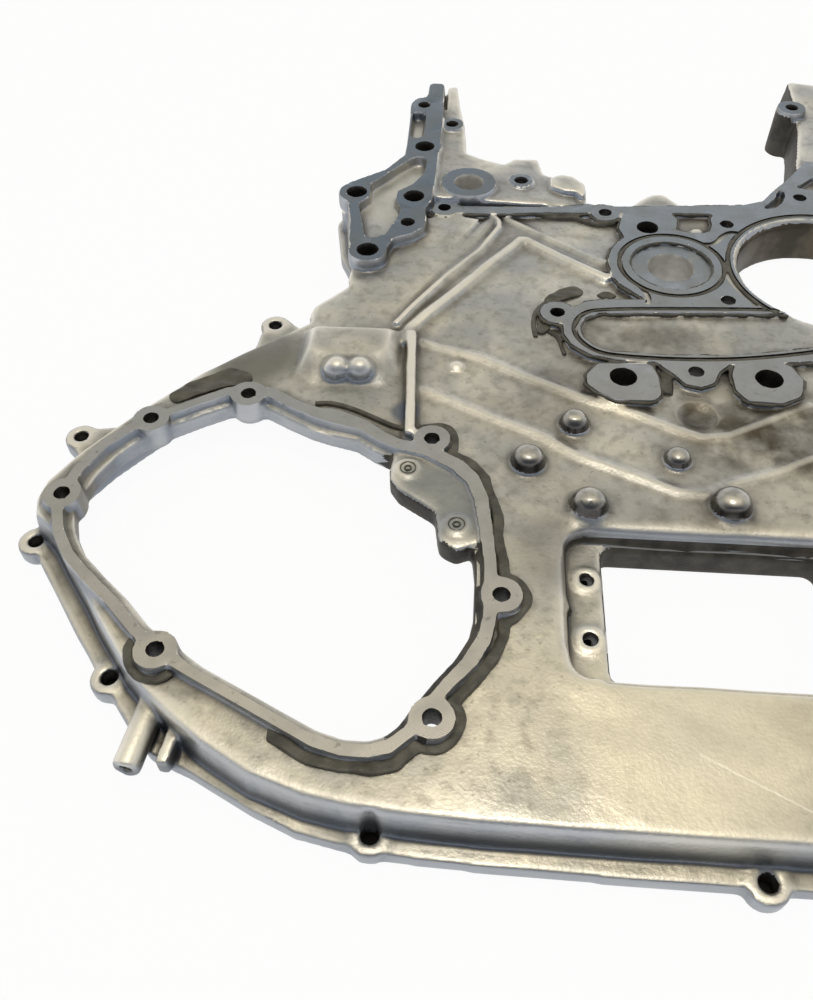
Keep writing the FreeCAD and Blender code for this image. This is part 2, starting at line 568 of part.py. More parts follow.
# Machining: recess, gasket grooves, chamfers and holes
groove_floor = rim_height - groove_depth
oval_groove = prism(offsetPoints(oval_inner, 4.2), groove_floor, rim_height + 1, land_round)
oval_island = prism(offsetPoints(oval_inner, 4.2 - groove_width), groove_floor - 1, rim_height + 2, 7)
cuts = [
    prism(oval_inner, rim_height - recess_depth, rim_height + 1, 9),
    oval_groove.cut(oval_island),
    disc(0, 0, ring_one_radius + 0.6, rim_height - ring_one_drop, rim_height + 1),
    disc(bore_x, 0, bore_radius, -1, rim_height + 1),
    Part.makeCone(
        bore_radius, bore_radius + bore_chamfer, bore_chamfer, V(bore_x, 0, rim_height - bore_chamfer)
    ),
    disc(0, 0, ring_one_bore_dia / 2, -1, rim_height + 1),
    disc(ring_two[0], ring_two[1], ring_two_bore_dia / 2, -1, rim_height + 6),
]
for x, radius in ((0, centre_groove_radius), (bore_x, bore_groove_radius)):
    ring_groove = disc(x, 0, radius + groove_width, groove_floor, rim_height + 1)
    cuts.append(ring_groove.cut(disc(x, 0, radius, groove_floor - 1, rim_height + 2)))
hole_sets = [
    (rim_holes + mirrored(rim_holes), rim_hole_dia),
    (flange_lugs, flange_hole_dia),
    ([(-33.9, -94.7), (36.1, -91.9)], pad_hole_dia),
    (frame_holes + mirrored(frame_holes), frame_hole_dia),
    (frame_small_holes + mirrored(frame_small_holes), face_hole_dia),
    ([(1.8, -88.8), (26, -30.6), (36.1, 41.5), (83.7, 72.6), (-64, -46.1)], face_hole_dia),
    ([(-127.2, 50), (-32.8, 49.9), (-81.9, 79.4), (132, 41.5), (142, -30.6)], face_hole_dia),
    ([strip_hole, arm_hole], face_hole_dia),
    ([(-9.6, 35.7)], side_hole_dia),
    (well_screws, well_screw_dia),
]
for places, diameter in hole_sets:
    for x, y in places:
        cuts.append(disc(x, y, diameter / 2, -1, frame_top + 2))
casting = casting.cut(cuts)
print("casting solids", len(casting.Solids), "valid", casting.isValid(), "volume", round(casting.Volume))
casting = max(casting.Solids, key=lambda solid: solid.Volume)
casting.exportStep("parts/timing_cover.step")

# Cured sealant left on the plate and along the machined edges
bead_top = plate_top + bead_height
bead_radius = rim_boss_radius + bead_width - 0.6
bead_reach = [
    (-175, -270), (-175, -302), (-110, -312), (-60, -290), (-60, -170), (-92, -128), (-150, -112),
    (-172, -118), (-160, -150), (-160, -250),
]
rim_outside = prism(offsetPoints(land_outer, -0.5), 0, 60, land_round)
bosses_outside = fused([disc(x, y, rim_boss_radius, 0, 60) for x, y in rim_holes])
bead = prism(offsetPoints(land_outer, bead_width), plate_top, bead_top, 9)
bead = bead.fuse(fused([disc(x, y, bead_radius, plate_top, bead_top) for x, y in rim_holes[:3]]))
bead = bead.common(prism(bead_reach, 0, 60, 2)).cut([rim_outside, bosses_outside]).cut(casting)
bead = max(bead.Solids, key=lambda solid: solid.Volume)
print("bead valid", bead.isValid(), "volume", round(bead.Volume))
bead.exportStep("parts/sealant_rim_bead.step")

corner = disc(rim_holes[6][0], rim_holes[6][1], rim_boss_radius + 4, plate_top, bead_top)
corner = corner.cut([bosses_outside, prism(land_outer, 0, 60, land_round)]).cut(casting)
corner = max(corner.Solids, key=lambda solid: solid.Volume)
corner.exportStep("parts/sealant_corner.step")

blot_outlines = {
    "sealant_blot_far": [
        (-238, -118), (-223, -110), (-214, -106), (-217, -99), (-228, -97), (-237, -104), (-247, -110),
        (-252, -120), (-249, -125),
    ],
    "sealant_oval_end": [
        (-62, -33), (-52, -29), (-47, -24), (-52, -19), (-62, -22), (-70, -32), (-74, -46), (-76, -60),
        (-71, -62), (-67, -54), (-68, -44),
    ],
}
for name, outline in blot_outlines.items():
    blot = prism(outline, plate_top, bead_top, 3)
    blot = blot.cut([casting, prism(land_outer, 0, 60, land_round)])
    blot = max(blot.Solids, key=lambda solid: solid.Volume)
    blot.exportStep("parts/" + name + ".step")
    print(name, "valid", blot.isValid(), "volume", round(blot.Volume))
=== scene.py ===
import math

import bmesh
import bpy
import numpy as np
from mathutils import Matrix, Vector


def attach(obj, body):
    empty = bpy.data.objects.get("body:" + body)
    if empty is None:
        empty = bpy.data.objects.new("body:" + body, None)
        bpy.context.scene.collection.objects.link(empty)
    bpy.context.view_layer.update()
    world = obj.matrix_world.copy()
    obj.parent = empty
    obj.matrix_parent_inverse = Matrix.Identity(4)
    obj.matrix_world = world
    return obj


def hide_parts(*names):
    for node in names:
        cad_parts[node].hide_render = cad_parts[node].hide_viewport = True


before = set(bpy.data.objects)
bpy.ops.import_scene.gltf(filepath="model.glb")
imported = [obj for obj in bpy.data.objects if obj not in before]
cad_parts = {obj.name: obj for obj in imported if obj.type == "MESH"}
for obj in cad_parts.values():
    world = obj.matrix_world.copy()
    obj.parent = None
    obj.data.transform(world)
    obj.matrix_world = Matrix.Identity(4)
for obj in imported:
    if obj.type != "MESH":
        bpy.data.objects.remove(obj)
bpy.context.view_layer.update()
mm = 0.001
print("frame loaded", len(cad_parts), "nodes")

# camera: hand held, close above the left half, looking down and away
camera = {
    "place": (-111.6, -439.35, 327.0),  # mm
    "fromStraightDown": 40.9,  # degrees
    "heading": 4.75,
    "roll": 0.8,
    "focalPixels": 922.8,
    "tallPixels": 1000,
}


def makeCamera(c):
    tilt = math.radians(c["fromStraightDown"])
    heading = math.radians(c["heading"])
    roll = math.radians(c["roll"])
    along = Vector((-math.sin(heading), math.cos(heading), 0))
    forward = along * math.sin(tilt) - Vector((0, 0, 1)) * math.cos(tilt)
    right = Vector((math.cos(heading), math.sin(heading), 0))
    down = forward.cross(right)
    across = right * math.cos(roll) + down * math.sin(roll)
    below = down * math.cos(roll) - right * math.sin(roll)
    data = bpy.data.cameras.new("photoCamera")
    data.sensor_width = 36
    data.lens = 36 * c["focalPixels"] / c["tallPixels"]
    data.clip_start = 0.01
    eye = bpy.data.objects.new("photoCamera", data)
    turn = Matrix((across, -below, -forward)).transposed().to_4x4()
    eye.matrix_world = Matrix.Translation(Vector(c["place"]) * mm) @ turn
    bpy.context.scene.collection.objects.link(eye)
    bpy.context.scene.camera = eye


# materials
def linear(code):
    values = [int(code[i:i + 2], 16) / 255 for i in (1, 3, 5)]
    return tuple(v / 12.92 if v <= 0.04045 else ((v + 0.055) / 1.055) ** 2.4 for v in values) + (1.0,)


def addNode(tree, kind, settings=None, links=None):
    node = tree.nodes.new(kind)
    for name, value in (settings or {}).items():
        if name in node.inputs:
            node.inputs[name].default_value = value
        else:
            setattr(node, name, value)
    for socket, source in (links or {}).items():
        tree.links.new(source, node.inputs[socket])
    return node


def startMaterial(name):
    material = bpy.data.materials.new(name)
    material.use_nodes = True
    tree = material.node_tree
    tree.nodes.clear()
    coords = addNode(tree, "ShaderNodeTexCoord")
    return material, tree, coords.outputs["Object"]


def finishMaterial(tree, shader):
    output = addNode(tree, "ShaderNodeOutputMaterial")
    tree.links.new(shader.outputs[0], output.inputs["Surface"])


def ranged(tree, value, first, last):
    # a value drawn out to 0..1 between first and last
    settings = {"From Min": first, "From Max": last}
    return addNode(tree, "ShaderNodeMapRange", settings, {"Value": value}).outputs[0]


def noiseValue(tree, place, grain, detail=3, low=0.4, high=0.6, seed=0):
    # noise whose blobs are about grain mm wide, drawn out to 0..1 between low and high
    shift = (seed * 0.37, seed * 0.11, 0)
    spot = addNode(tree, "ShaderNodeMapping", {"Location": shift}, {"Vector": place})
    settings = {"Scale": 1 / (grain * mm), "Detail": detail}
    cloud = addNode(tree, "ShaderNodeTexNoise", settings, {"Vector": spot.outputs[0]})
    return ranged(tree, cloud.outputs["Fac"], low, high)


def separated(tree, vector):
    # a vector's X, Y and Z
    return addNode(tree, "ShaderNodeSeparateXYZ", links={"Vector": vector}).outputs


def facingOf(tree):
    return separated(tree, addNode(tree, "ShaderNodeNewGeometry").outputs["Normal"])


def blend(tree, amount, first, second):
    # colours, either as sRGB codes or as sockets
    node = addNode(tree, "ShaderNodeMix", {"data_type": "RGBA"})
    for socket, value in ((node.inputs[6], first), (node.inputs[7], second)):
        if isinstance(value, str):
            socket.default_value = linear(value)
        else:
            tree.links.new(value, socket)
    if isinstance(amount, (int, float)):
        node.inputs[0].default_value = amount
    else:
        tree.links.new(amount, node.inputs[0])
    return node.outputs[2]


def times(tree, first, second, operation="MULTIPLY"):
    node = addNode(tree, "ShaderNodeMath", {"operation": operation})
    for socket, value in ((node.inputs[0], first), (node.inputs[1], second)):
        if isinstance(value, (int, float)):
            socket.default_value = value
        else:
            tree.links.new(value, socket)
    return node.outputs[0]


def patch(tree, place, x, y, z, reach, squeeze=(1, 1, 1), soft=0.55):
    # 1 in the middle of a stain, 0 beyond its reach in mm
    scale = tuple(1 / (reach * mm * s) for s in squeeze)
    shift = tuple(-v * mm * k for v, k in zip((x, y, z), scale))
    spot = addNode(tree, "ShaderNodeMapping", {"Scale": scale, "Location": shift}, {"Vector": place})
    far = addNode(tree, "ShaderNodeVectorMath", {"operation": "LENGTH"}, {"Vector": spot.outputs[0]})
    settings = {"From Min": 1.0, "From Max": 1.0 - soft, "interpolation_type": "SMOOTHSTEP"}
    return addNode(tree, "ShaderNodeMapRange", settings, {"Value": far.outputs["Value"]}).outputs[0]


def scratchLine(tree, place, x0, y0, x1, y1, width):
    # 1 on a straight scratch between two points in mm, 0 beside it
    length = math.hypot(x1 - x0, y1 - y0)
    along = ((x1 - x0) / length, (y1 - y0) / length, 0)
    across = (-along[1], along[0], 0)
    shift = addNode(tree, "ShaderNodeMapping", {"Location": (-x0 * mm, -y0 * mm, 0)}, {"Vector": place})
    values = []
    for way in (along, across):
        settings = {"operation": "DOT_PRODUCT"}
        node = addNode(tree, "ShaderNodeVectorMath", settings, {"Vector": shift.outputs[0]})
        node.inputs[1].default_value = way
        values.append(node.outputs["Value"])
    side = addNode(tree, "ShaderNodeMath", {"operation": "ABSOLUTE"}, {0: values[1]}).outputs[0]
    near = ranged(tree, side, width * mm, 0.0)
    started = times(tree, values[0], 0.0, "GREATER_THAN")
    ended = times(tree, values[0], length * mm, "LESS_THAN")
    return times(tree, near, times(tree, started, ended))


# what oil, wear and age left on the cast skin, and one place of painted shade
castSkin = {
    # x, y and reach in mm, squeeze, strength
    "stains": (
        (36, -130, 75, (1, 0.55, 1), 0.95), (85, -140, 60, (1, 0.6, 1), 0.95), (0, -114, 17, (1, 1, 1), 0.9),
        (60, -300, 70, (1, 0.35, 1), 0.6), (-5, -180, 60, (1, 0.4, 1), 0.35), (-60, -80, 40, (1, 1, 1), 0.4),
        (20, 36, 14, (1, 1, 1), 0.9), (-70, -110, 45, (1, 0.7, 1), 0.4), (20, -275, 30, (1, 0.6, 1), 0.6),
        (-285, -190, 80, (0.6, 1.2, 1), 0.4), (50, -118, 50, (1.2, 0.4, 1), 0.9),
        (-230, -90, 50, (1, 1, 1), 0.3), (28, -122, 26, (1.3, 0.8, 1), 0.9), (16, -140, 18, (0.7, 1.3, 1), 0.7),
        (-20, -62, 60, (1, 0.35, 1), 0.55), (-255, -222, 60, (1.2, 0.6, 1), 0.45),
    ),
    "stainColour": "#4b4336",
    # x, y, reach, strength, colour: places that are paler, greyer or bluer than the rest; the small dark blue
    # one, on the rib at x -138, is painted shade
    "tints": (
        (-160, 55, 26, 0.6, "#d8d5cc"), (-150, 85, 24, 0.6, "#d8d5cc"), (-148, 140, 20, 0.6, "#d8d5cc"),
        (-118, -178, 29, 0.75, "#7f8386"), (-138, -122, 9, 0.7, "#4d586b"), (-21, -275, 60, 0.6, "#f3ead2"),
        (-220, -296, 22, 0.5, "#f6f1e2"), (-58, -231, 16, 0.5, "#f3ead2"), (-218, -84, 32, 0.9, "#77766f"),
        (-68, -200, 26, 0.5, "#83807a"), (-176, -280, 26, 0.3, "#8d8d8a"),
    ),
    # blob size, detail, range, seed, strength, colour of each layer of mottling
    "mottling": (
        (70, 4, 0.38, 0.66, 1, 0.5, "#8f8d86"), (42, 6, 0.46, 0.62, 11, 0.38, "#8d9299"),
        (30, 6, 0.5, 0.68, 12, 0.42, "#eee6d2"), (6, 6, 0.48, 0.68, 2, 0.4, "#7b786f"),
        (2.2, 5, 0.6, 0.74, 13, 0.4, "#5f5b52"),
    ),
    "scratch": (-22.3, -288.5, 12.6, -306.6, 0.6),
}


def castAluminium(skin):
    # die-cast aluminium, as cast and oily: pale warm grey, satin, cloudy, with grime and painted shade in the
    # corners and painted reflections that change with place and slope
    material, tree, place = startMaterial("dieCastAluminium")
    parts = separated(tree, place)
    # painted reflection: paler and warmer towards the near side, as the bright ceiling shows in the metal there
    colour = blend(tree, ranged(tree, parts["Y"], 0.0, -0.27), "#bcbbb7", "#dad3c2")
    layers = []
    for grain, detail, low, high, seed, strength, shade in skin["mottling"]:
        layers.append(noiseValue(tree, place, grain, detail, low, high, seed))
        colour = blend(tree, times(tree, layers[-1], strength), colour, shade)
    for x, y, reach, squeeze, strength in skin["stains"]:
        spread = patch(tree, place, x, y, 23, reach, squeeze, 0.8)
        stain = times(tree, spread, noiseValue(tree, place, 16, 5, 0.36, 0.62, x))
        colour = blend(tree, times(tree, stain, strength), colour, skin["stainColour"])
    # grime and painted shade in the corners, bare metal and painted highlight on the edges, from the mesh's own
    # hollowness in mm
    grimeShadeAndSheen = addNode(tree, "ShaderNodeAttribute", {"attribute_name": "hollow"}).outputs["Fac"]
    colour = blend(tree, times(tree, ranged(tree, grimeShadeAndSheen, 0.08, 0.8), 0.85), colour, "#45403a")
    colour = blend(tree, times(tree, ranged(tree, grimeShadeAndSheen, -0.08, -0.6), 0.75), colour, "#f6f1e6")
    flange = ranged(tree, parts["Z"], 0.0085, 0.007)
    colour = blend(tree, times(tree, flange, 0.35), colour, "#85847d")
    facing = facingOf(tree)
    # painted shade: steep walls that face the near side are painted dark
    wall = times(tree, ranged(tree, facing["Z"], 0.6, 0.2), ranged(tree, facing["Y"], -0.75, -0.35))
    colour = blend(tree, times(tree, wall, 0.75), colour, "#4e4b46")
    # painted reflection: slopes that face the near side are painted blue-grey, as the bluish near side of the
    # room shows in them
    nearSlopeReflection = times(tree, ranged(tree, facing["Z"], 0.93, 0.7), ranged(tree, facing["Y"], -0.2, -0.5))
    colour = blend(tree, times(tree, nearSlopeReflection, 0.6), colour, "#8793a6")
    # painted reflection: sloped faces of the skirt, about 7 to 17 mm high, are painted dark blue-grey
    foot = times(tree, ranged(tree, facing["Z"], 0.97, 0.85), ranged(tree, parts["Z"], 0.0175, 0.0125))
    foot = times(tree, foot, ranged(tree, parts["Z"], 0.0065, 0.0085))
    colour = blend(tree, times(tree, foot, 0.6), colour, "#4a4f58")
    for x, y, reach, strength, shade in skin["tints"]:
        tint = patch(tree, place, x, y, 24, reach, (1, 1, 0.5), 0.5)
        colour = blend(tree, times(tree, tint, strength), colour, shade)
    colour = blend(tree, times(tree, scratchLine(tree, place, *skin["scratch"]), 0.7), colour, "#fbf6e8")
    grain = noiseValue(tree, place, 1.4, 3, 0.3, 0.7, 3)
    swells = noiseValue(tree, place, 7, 2, 0.3, 0.7, 4)
    height = times(tree, times(tree, grain, 0.25), times(tree, swells, 0.12), "ADD")
    bump = addNode(tree, "ShaderNodeBump", {"Strength": 0.4, "Distance": 0.0005}, {"Height": height})
    rough = addNode(tree, "ShaderNodeMapRange", {"To Min": 0.3, "To Max": 0.46}, {"Value": layers[0]})
    shader = addNode(
        tree, "ShaderNodeBsdfPrincipled", {"Metallic": 0.86},
        {"Base Color": colour, "Roughness": rough.outputs[0], "Normal": bump.outputs[0]},
    )
    finishMaterial(tree, shader)
    return material


def machinedAluminium():
    # milled sealing faces: blue-grey, smoother, with faint cutter arcs and old sealant film
    material, tree, place = startMaterial("milledAluminium")
    parts = separated(tree, place)
    # painted reflection: paler and warmer towards the near side, blue-grey further away
    colour = blend(tree, ranged(tree, parts["Y"], -0.27, 0.02), "#bcb8b1", "#8e959e")
    colour = blend(tree, ranged(tree, parts["Z"], 0.0275, 0.0315), colour, "#6b7682")
    film = noiseValue(tree, place, 14, 5, 0.42, 0.62, 5)
    colour = blend(tree, times(tree, film, 0.3), colour, "#7b7b75")
    spots = noiseValue(tree, place, 3, 4, 0.62, 0.74, 6)
    colour = blend(tree, times(tree, spots, 0.45), colour, "#5d5c56")
    # cutter marks 0.75 mm apart, which is coarser than real ones, so that they show
    settings = {"wave_type": "RINGS", "rings_direction": "Z", "Scale": 420.0, "Distortion": 0.6, "Detail": 1.0}
    arcs = addNode(tree, "ShaderNodeTexWave", settings, {"Vector": place}).outputs["Fac"]
    bump = addNode(tree, "ShaderNodeBump", {"Strength": 0.12, "Distance": 0.0002}, {"Height": arcs})
    rough = addNode(tree, "ShaderNodeMapRange", {"To Min": 0.26, "To Max": 0.4}, {"Value": film})
    shader = addNode(
        tree, "ShaderNodeBsdfPrincipled", {"Metallic": 0.88},
        {"Base Color": colour, "Roughness": rough.outputs[0], "Normal": bump.outputs[0]},
    )
    finishMaterial(tree, shader)
    return material


def domeMetal():
    # the studs' skin: bright on top, with painted shade on the flanks and on the side facing the near side
    material, tree, place = startMaterial("domeSkin")
    facing = facingOf(tree)
    colour = blend(tree, noiseValue(tree, place, 5, 4, 0.38, 0.62, 7), "#c3bfb7", "#a19f9a")
    # painted shade: darker on the flanks and on the near-facing side
    colour = blend(tree, times(tree, ranged(tree, facing["Z"], 0.86, 0.4), 0.85), colour, "#4c4944")
    colour = blend(tree, times(tree, ranged(tree, facing["Y"], -0.25, -0.7), 0.6), colour, "#37353a")
    settings = {"Metallic": 1.0, "Roughness": 0.25}
    finishMaterial(tree, addNode(tree, "ShaderNodeBsdfPrincipled", settings, {"Base Color": colour}))
    return material


def plainMaterial(name, first, second, grain, roughness, metallic=0.0, pits=0.3):
    # two colours in small clouds
    material, tree, place = startMaterial(name)
    colour = blend(tree, noiseValue(tree, place, grain, 4, 0.38, 0.62, 7), first, second)
    fine = noiseValue(tree, place, 1.2, 3, 0.3, 0.7, 8)
    bump = addNode(tree, "ShaderNodeBump", {"Strength": pits, "Distance": 0.0003}, {"Height": fine})
    shader = addNode(
        tree, "ShaderNodeBsdfPrincipled", {"Roughness": roughness, "Metallic": metallic},
        {"Base Color": colour, "Normal": bump.outputs[0]},
    )
    finishMaterial(tree, shader)
    return material


# the casting's skin: the frame's own solid, rounded over as a die leaves it, then faced again
casting = {
    "voxel": 0.9,  # mm
    "quickVoxel": 1.3,
    "softenShare": 0.55,
    "softenPasses": 7,
    "facedLevels": (27.0, 32.0, 31.0, 29.0, 25.0, 25.8),
    "milledLevels": (27.0, 32.0, 31.0, 29.0, 25.0),
    # the ear's top, at this height and nearer than this Y, isn't milled but rounded
    "earTop": (25.0, -140),
    "triangles": 185000,
    "ripple": 0.22,  # mm, the die's uneven surface
    "rippleLength": 26,
    "sharpAngle": 38,
    # plan boxes whose edges are rounded more, with their passes, and the height that this starts at
    "roundedBoxes": ((-74, -200, 67, -180, 22), (-76, -264, -58, -180, 16)),
    "roundedAbove": 17.5,
    # x, y, reach and passes of the forms that the die rounds most
    "roundest": (
        (-168, -86, 36, 7), (-137, -100, 22, 6), (-115, 0, 30, 12), (-60, 10, 36, 12), (0, 62, 18, 14),
    ),
    "roundestAbove": 21,
}

# drilled holes whose walls are painted near black, for old oil and painted shade inside them: x, y, radius
oneSided = (
    (-116.6, -282.2, 3.5), (-92.1, -227.0, 3.5), (-124.2, -142.4, 3.5), (-213.6, -117.7, 3.5),
    (-256.1, -137.3, 3.5), (-283.2, -185.7, 3.5), (-222.8, -260.9, 3.5), (-136.1, -318.6, 3.3),
    (-244.5, -263.5, 3.3), (-296.5, -198.3, 3.3), (-296, -133, 3.3), (-215.4, -42, 3.3),
    (-145.6, 53.2, 5.75), (-179.9, 56, 5.75), (-167.6, -2.9, 5.75), (-142.6, 111.6, 5.75),
    (-147.3, 25.4, 3.75), (-146.2, 166.6, 3.75),
)
wellScrews = ((-56.5, -209.5, 2.8), (-56.5, -238.5, 2.8), (49.5, -209.5, 2.8), (49.5, -238.5, 2.8))
oilyShadedHoles = oneSided + tuple((-x, y, r) for x, y, r in oneSided) + (
    (-1, -325.5, 3.3), (-33.9, -94.7, 6.5), (36.1, -91.9, 6.5), (1.8, -88.8, 3.75), (26, -30.6, 3.75),
    (36.1, 41.5, 3.75), (83.7, 72.6, 3.75), (-64, -46.1, 3.75), (-127.2, 50, 3.75), (-32.8, 49.9, 3.75),
    (-81.9, 79.4, 3.75), (132, 41.5, 3.75), (142, -30.6, 3.75), (-9.6, 35.7, 6.0), (-126.6, 143.5, 3.75),
    (98.5, 178, 3.75),
) + wellScrews
rimHole, flangeHole = 3.5, 3.3  # radii
mainBore = (84.0, 0.0, 46.8)
# bores whose walls are painted pale, bored metal with painted light inside them: x, y, radius
brightBores = ((0, 0, 12.5), (-113.5, 72.4, 8.5))
# steep walls painted dark, for oil and painted shade, in the well, under the ear and in the right arm:
# plan box, height they end at, and how level a face may be
darkWalls = (
    (-68, -264, 62, -186, 19.0, 0.8), (-146, -207, -97.5, -165, 23.9, 0.9),
    (-146, -172, -132, -150, 23.9, 0.9), (60, 84, 112, 229, 25.5, 0.8),
)
innerWall = (-134, -292, -92, -200, 26.7, 0.93)  # the side opening's right wall, painted dark in the same way

# gasket channels, cut into the faced level
ovalRim = (
    (-42, -45.2), (-49.6, -49.4), (-53, -58), (-51.6, -65.5), (-46, -72.3), (-38.5, -75.6), (-11.3, -77),
    (18.7, -75.6), (43.4, -71.4), (66, -66), (84, -58), (92, -50), (84, -44), (52, -40.4), (14, -41.8),
)
channels = {
    "level": 27.0,
    "solidFloor": 25.8,  # of the groove in the CAD solid
    "floor": 25.75,
    "width": 3.0,
    "fillWidth": 2.6,
    "rings": ((0, 0, 28.4, 96), (84, 0, 53.1, 160)),  # x, y, radius, points
    "ovalOffset": 3.3,
    "tails": (
        ((-19.5, -20.6), (-16.5, -26), (-15.3, -31), (-16.5, -36.5)),
        ((28.1, -3.6), (30.3, -15.3), (34.1, -23.9), (40.1, -34.7)),
        ((19.5, 20.6), (24.8, 20.9), (28.6, 24.1), (31.6, 29.3), (36.7, 33.6), (41.0, 33.0)),
    ),
}

# domes cast on the plate: x, y, radius, height; the last is a low bump with the plate's own skin
domes = (
    (-80.5, -152.0, 7.6, 8.5), (-54.8, -176.5, 8.0, 9.0), (6.0, -173.0, 8.5, 9.0),
    (-58.8, -126.5, 6.8, 7.5), (-13.6, -146.5, 6.0, 6.0), (-115.0, -88.5, 3.6, 2.2),
)
plateTop = 23.5


def plainMesh(obj):
    # the evaluated mesh, free of its modifiers
    graph = bpy.context.evaluated_depsgraph_get()
    mesh = bpy.data.meshes.new_from_object(obj.evaluated_get(graph))
    obj.modifiers.clear()
    obj.data = mesh
    return mesh


def voxelCopy(name, node, size, extra=None):
    # a merged copy of a CAD node with extra closed bodies, remade as one even skin
    shape = bmesh.new()
    shape.from_mesh(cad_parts[node].data)
    bmesh.ops.remove_doubles(shape, verts=shape.verts, dist=1e-6)
    for body in extra or ():
        shape.from_mesh(body)
    mesh = bpy.data.meshes.new(name)
    shape.to_mesh(mesh)
    shape.free()
    obj = bpy.data.objects.new(name, mesh)
    bpy.context.scene.collection.objects.link(obj)
    remesh = obj.modifiers.new("skin", "REMESH")
    remesh.mode = "VOXEL"
    remesh.voxel_size = size * mm
    plainMesh(obj)
    return obj


def meshArrays(mesh):
    # its points in mm and its edges
    points = np.empty(len(mesh.vertices) * 3)
    mesh.vertices.foreach_get("co", points)
    edges = np.empty(len(mesh.edges) * 2, dtype=np.int64)
    mesh.edges.foreach_get("vertices", edges)
    return points.reshape(-1, 3) / mm, edges.reshape(-1, 2)


def soften(points, edges, amount, passes):
    # moves each point towards the middle of its neighbours
    count = len(points)
    ends = np.concatenate([edges[:, 0], edges[:, 1]])
    others = np.concatenate([edges[:, 1], edges[:, 0]])
    share = np.maximum(np.bincount(ends, minlength=count), 1)
    for _ in range(passes):
        sums = [np.bincount(ends, weights=points[others, k], minlength=count) for k in range(3)]
        middle = np.stack([total / share for total in sums], 1)
        points = points + (middle - points) * (amount if amount.ndim == 2 else amount[:, None])
    return points


def levelMap(mesh, level, cell=0.5):
    # a plan grid of where the CAD mesh has a flat face at this height
    points, _ = meshArrays(mesh)
    low = points.min(axis=0)[:2] - 5
    size = ((points.max(axis=0)[:2] + 5 - low) / cell).astype(int) + 1
    grid = np.zeros(size, dtype=bool)
    corners = np.empty(len(mesh.polygons) * 3, dtype=np.int64)
    mesh.polygons.foreach_get("vertices", corners)
    corners = points[corners.reshape(-1, 3)]
    flat = np.abs(corners[:, :, 2] - level).max(axis=1) < 0.05
    for a, b, c in corners[flat][:, :, :2]:
        first = np.floor((np.minimum(np.minimum(a, b), c) - low) / cell).astype(int)
        last = np.ceil((np.maximum(np.maximum(a, b), c) - low) / cell).astype(int) + 1
        xs = low[0] + np.arange(first[0], last[0]) * cell
        ys = low[1] + np.arange(first[1], last[1]) * cell
        gx, gy = np.meshgrid(xs, ys, indexing="ij")
        det = (b[0] - a[0]) * (c[1] - a[1]) - (c[0] - a[0]) * (b[1] - a[1])
        if abs(det) < 1e-9:
            continue
        u = ((gx - a[0]) * (c[1] - a[1]) - (c[0] - a[0]) * (gy - a[1])) / det
        v = ((b[0] - a[0]) * (gy - a[1]) - (gx - a[0]) * (b[1] - a[1])) / det
        inside = (u >= -0.02) & (v >= -0.02) & (u + v <= 1.02)
        grid[first[0]:last[0], first[1]:last[1]] |= inside
    return grid, low, cell


def onMap(mapping, points, spread=0):
    # which points lie over the map's flat faces, or within spread cells of them
    grid, low, cell = mapping
    hit = np.zeros(len(points), dtype=bool)
    for dx in range(-spread, spread + 1):
        for dy in range(-spread, spread + 1):
            i = np.clip(np.round((points[:, 0] - low[0]) / cell).astype(int) + dx, 0, grid.shape[0] - 1)
            j = np.clip(np.round((points[:, 1] - low[1]) / cell).astype(int) + dy, 0, grid.shape[1] - 1)
            hit |= grid[i, j]
    return hit


def ripples(points, height, grain):
    # slow uneven waves, worked out from a few crossing sines with fixed phases
    rng = np.random.default_rng(7)
    total = np.zeros(len(points))
    for _ in range(14):
        way = rng.normal(size=2)
        way /= np.linalg.norm(way)
        length = grain * rng.uniform(0.7, 2.2)
        total += np.sin((points[:, :2] @ way) * 2 * math.pi / length + rng.uniform(0, 6.28))
    return total / 14 ** 0.5 * height


def offsetLoop(points, distance):
    # a closed line moved outward, for points that run counterclockwise
    moved = []
    count = len(points)
    for i in range(count):
        before, here, after = (np.array(points[k % count], float) for k in (i - 1, i, i + 1))
        sides = [(b - a) / np.linalg.norm(b - a) for a, b in ((before, here), (here, after))]
        first, second = (np.array((side[1], -side[0])) for side in sides)
        moved.append(here + (first + second) * distance / max(0.35, 1 + first @ second))
    return moved


def circleLoop(x, y, radius, count=96):
    turns = [2 * math.pi * i / count for i in range(count)]
    return [(x + radius * math.cos(t), y + radius * math.sin(t)) for t in turns]


def smoothLoop(points, closed, passes=3):
    # rounds a line by cutting its corners
    for _ in range(passes):
        result = [] if closed else [np.array(points[0], float)]
        for i in range(len(points) if closed else len(points) - 1):
            a, b = np.array(points[i], float), np.array(points[(i + 1) % len(points)], float)
            result += [a * 0.75 + b * 0.25, a * 0.25 + b * 0.75]
        if not closed:
            result.append(np.array(points[-1], float))
        points = result
    return points


